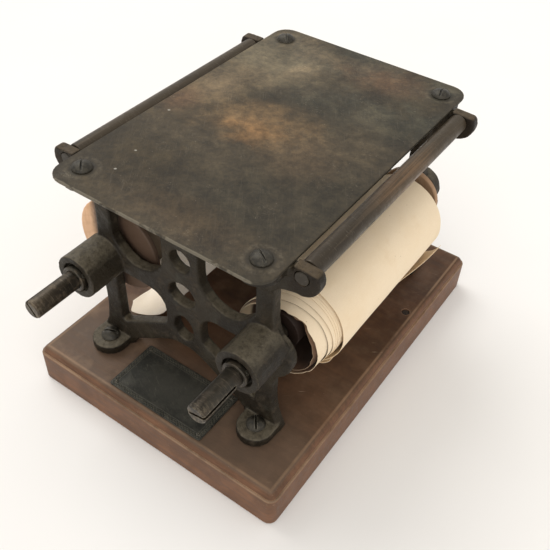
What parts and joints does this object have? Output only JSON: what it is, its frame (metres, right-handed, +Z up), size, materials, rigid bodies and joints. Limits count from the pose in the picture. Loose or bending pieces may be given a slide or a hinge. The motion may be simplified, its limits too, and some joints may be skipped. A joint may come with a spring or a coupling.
{
  "type": "tabletop printing press",
  "caption": "Tabletop roll-paper press: a flat iron bed on pierced cast end frames over a moulded wooden base, with slotted winding shafts, paper rolls and guide rods along the bed.",
  "frame": {"origin": "middle of the underside of the wooden base", "axes": "+Z up, +Y back along the rolls from the shaft ends, +X to the right as seen from the shaft ends"},
  "size_m": [0.201, 0.2917, 0.1822],
  "materials": {
    "base_wood": "dark varnish, worn",
    "plug_wood": "dark end grain",
    "core_wood": "bare, aged",
    "cast_iron": "old black paint over pitted casting",
    "bed_iron": "oxidised, scratched",
    "shaft_steel": "browned, worn bright on edges",
    "screw_steel": "blackened",
    "label_metal": "dark, worn",
    "paper": "matt aged paper"
  },
  "bodies": {
    "stand": {"back_frame": "cast_iron", "base_board": "base_wood", "base_plug": "plug_wood", "bed_plate": "bed_iron", "bed_screw_back_left": "screw_steel", "bed_screw_back_right": "screw_steel", "bed_screw_front_left": "screw_steel", "bed_screw_front_right": "screw_steel", "foot_screw_back_left": "screw_steel", "foot_screw_back_right": "screw_steel", "foot_screw_front_left": "screw_steel", "foot_screw_front_right": "screw_steel", "front_frame": "cast_iron", "label_pin_1": "screw_steel", "label_pin_2": "screw_steel", "label_pin_3": "screw_steel", "label_pin_4": "screw_steel", "label_plate": "label_metal", "loose_sheet": "paper"},
    "left_winder": {"winding_shaft_left": "shaft_steel", "roller_core_left": "core_wood", "paper_roll_left": "paper", "spool_cheek_left_front": "core_wood", "spool_cheek_left_back": "core_wood", "shaft_collar_front_left": "shaft_steel", "shaft_collar_back_left": "shaft_steel", "collar_pin_left": "screw_steel"},
    "right_winder": {"winding_shaft_right": "shaft_steel", "roller_core_right": "core_wood", "spool_cheek_right_back": "core_wood", "shaft_collar_front_right": "shaft_steel", "shaft_collar_back_right": "shaft_steel", "collar_pin_right": "screw_steel"},
    "loose_coil": {"paper_roll_right": "paper"},
    "left_rod": {"guide_rod_left": "shaft_steel"},
    "right_rod": {"guide_rod_right": "shaft_steel"}
  },
  "joints": [
    {"name": "left_shaft_turn", "type": "hinge", "parent": "stand", "child": "left_winder", "pos_m": [-0.062, 0, 0.1075], "axis": [0, 1, 0], "continuous": true},
    {"name": "right_shaft_turn", "type": "hinge", "parent": "stand", "child": "right_winder", "pos_m": [0.062, 0, 0.1075], "axis": [0, 1, 0], "continuous": true},
    {"name": "coil_turn", "type": "hinge", "parent": "stand", "child": "loose_coil", "pos_m": [0.0626, 0, 0.097], "axis": [0, 1, 0], "continuous": true},
    {"name": "left_rod_turn", "type": "hinge", "parent": "stand", "child": "left_rod", "pos_m": [-0.083, 0, 0.1719], "axis": [0, 1, 0], "continuous": true},
    {"name": "right_rod_turn", "type": "hinge", "parent": "stand", "child": "right_rod", "pos_m": [0.083, 0, 0.1719], "axis": [0, 1, 0], "continuous": true}
  ],
  "couplings": [
    {"joint": "coil_turn", "follows": "right_shaft_turn", "ratio": 0.5533}
  ]
}
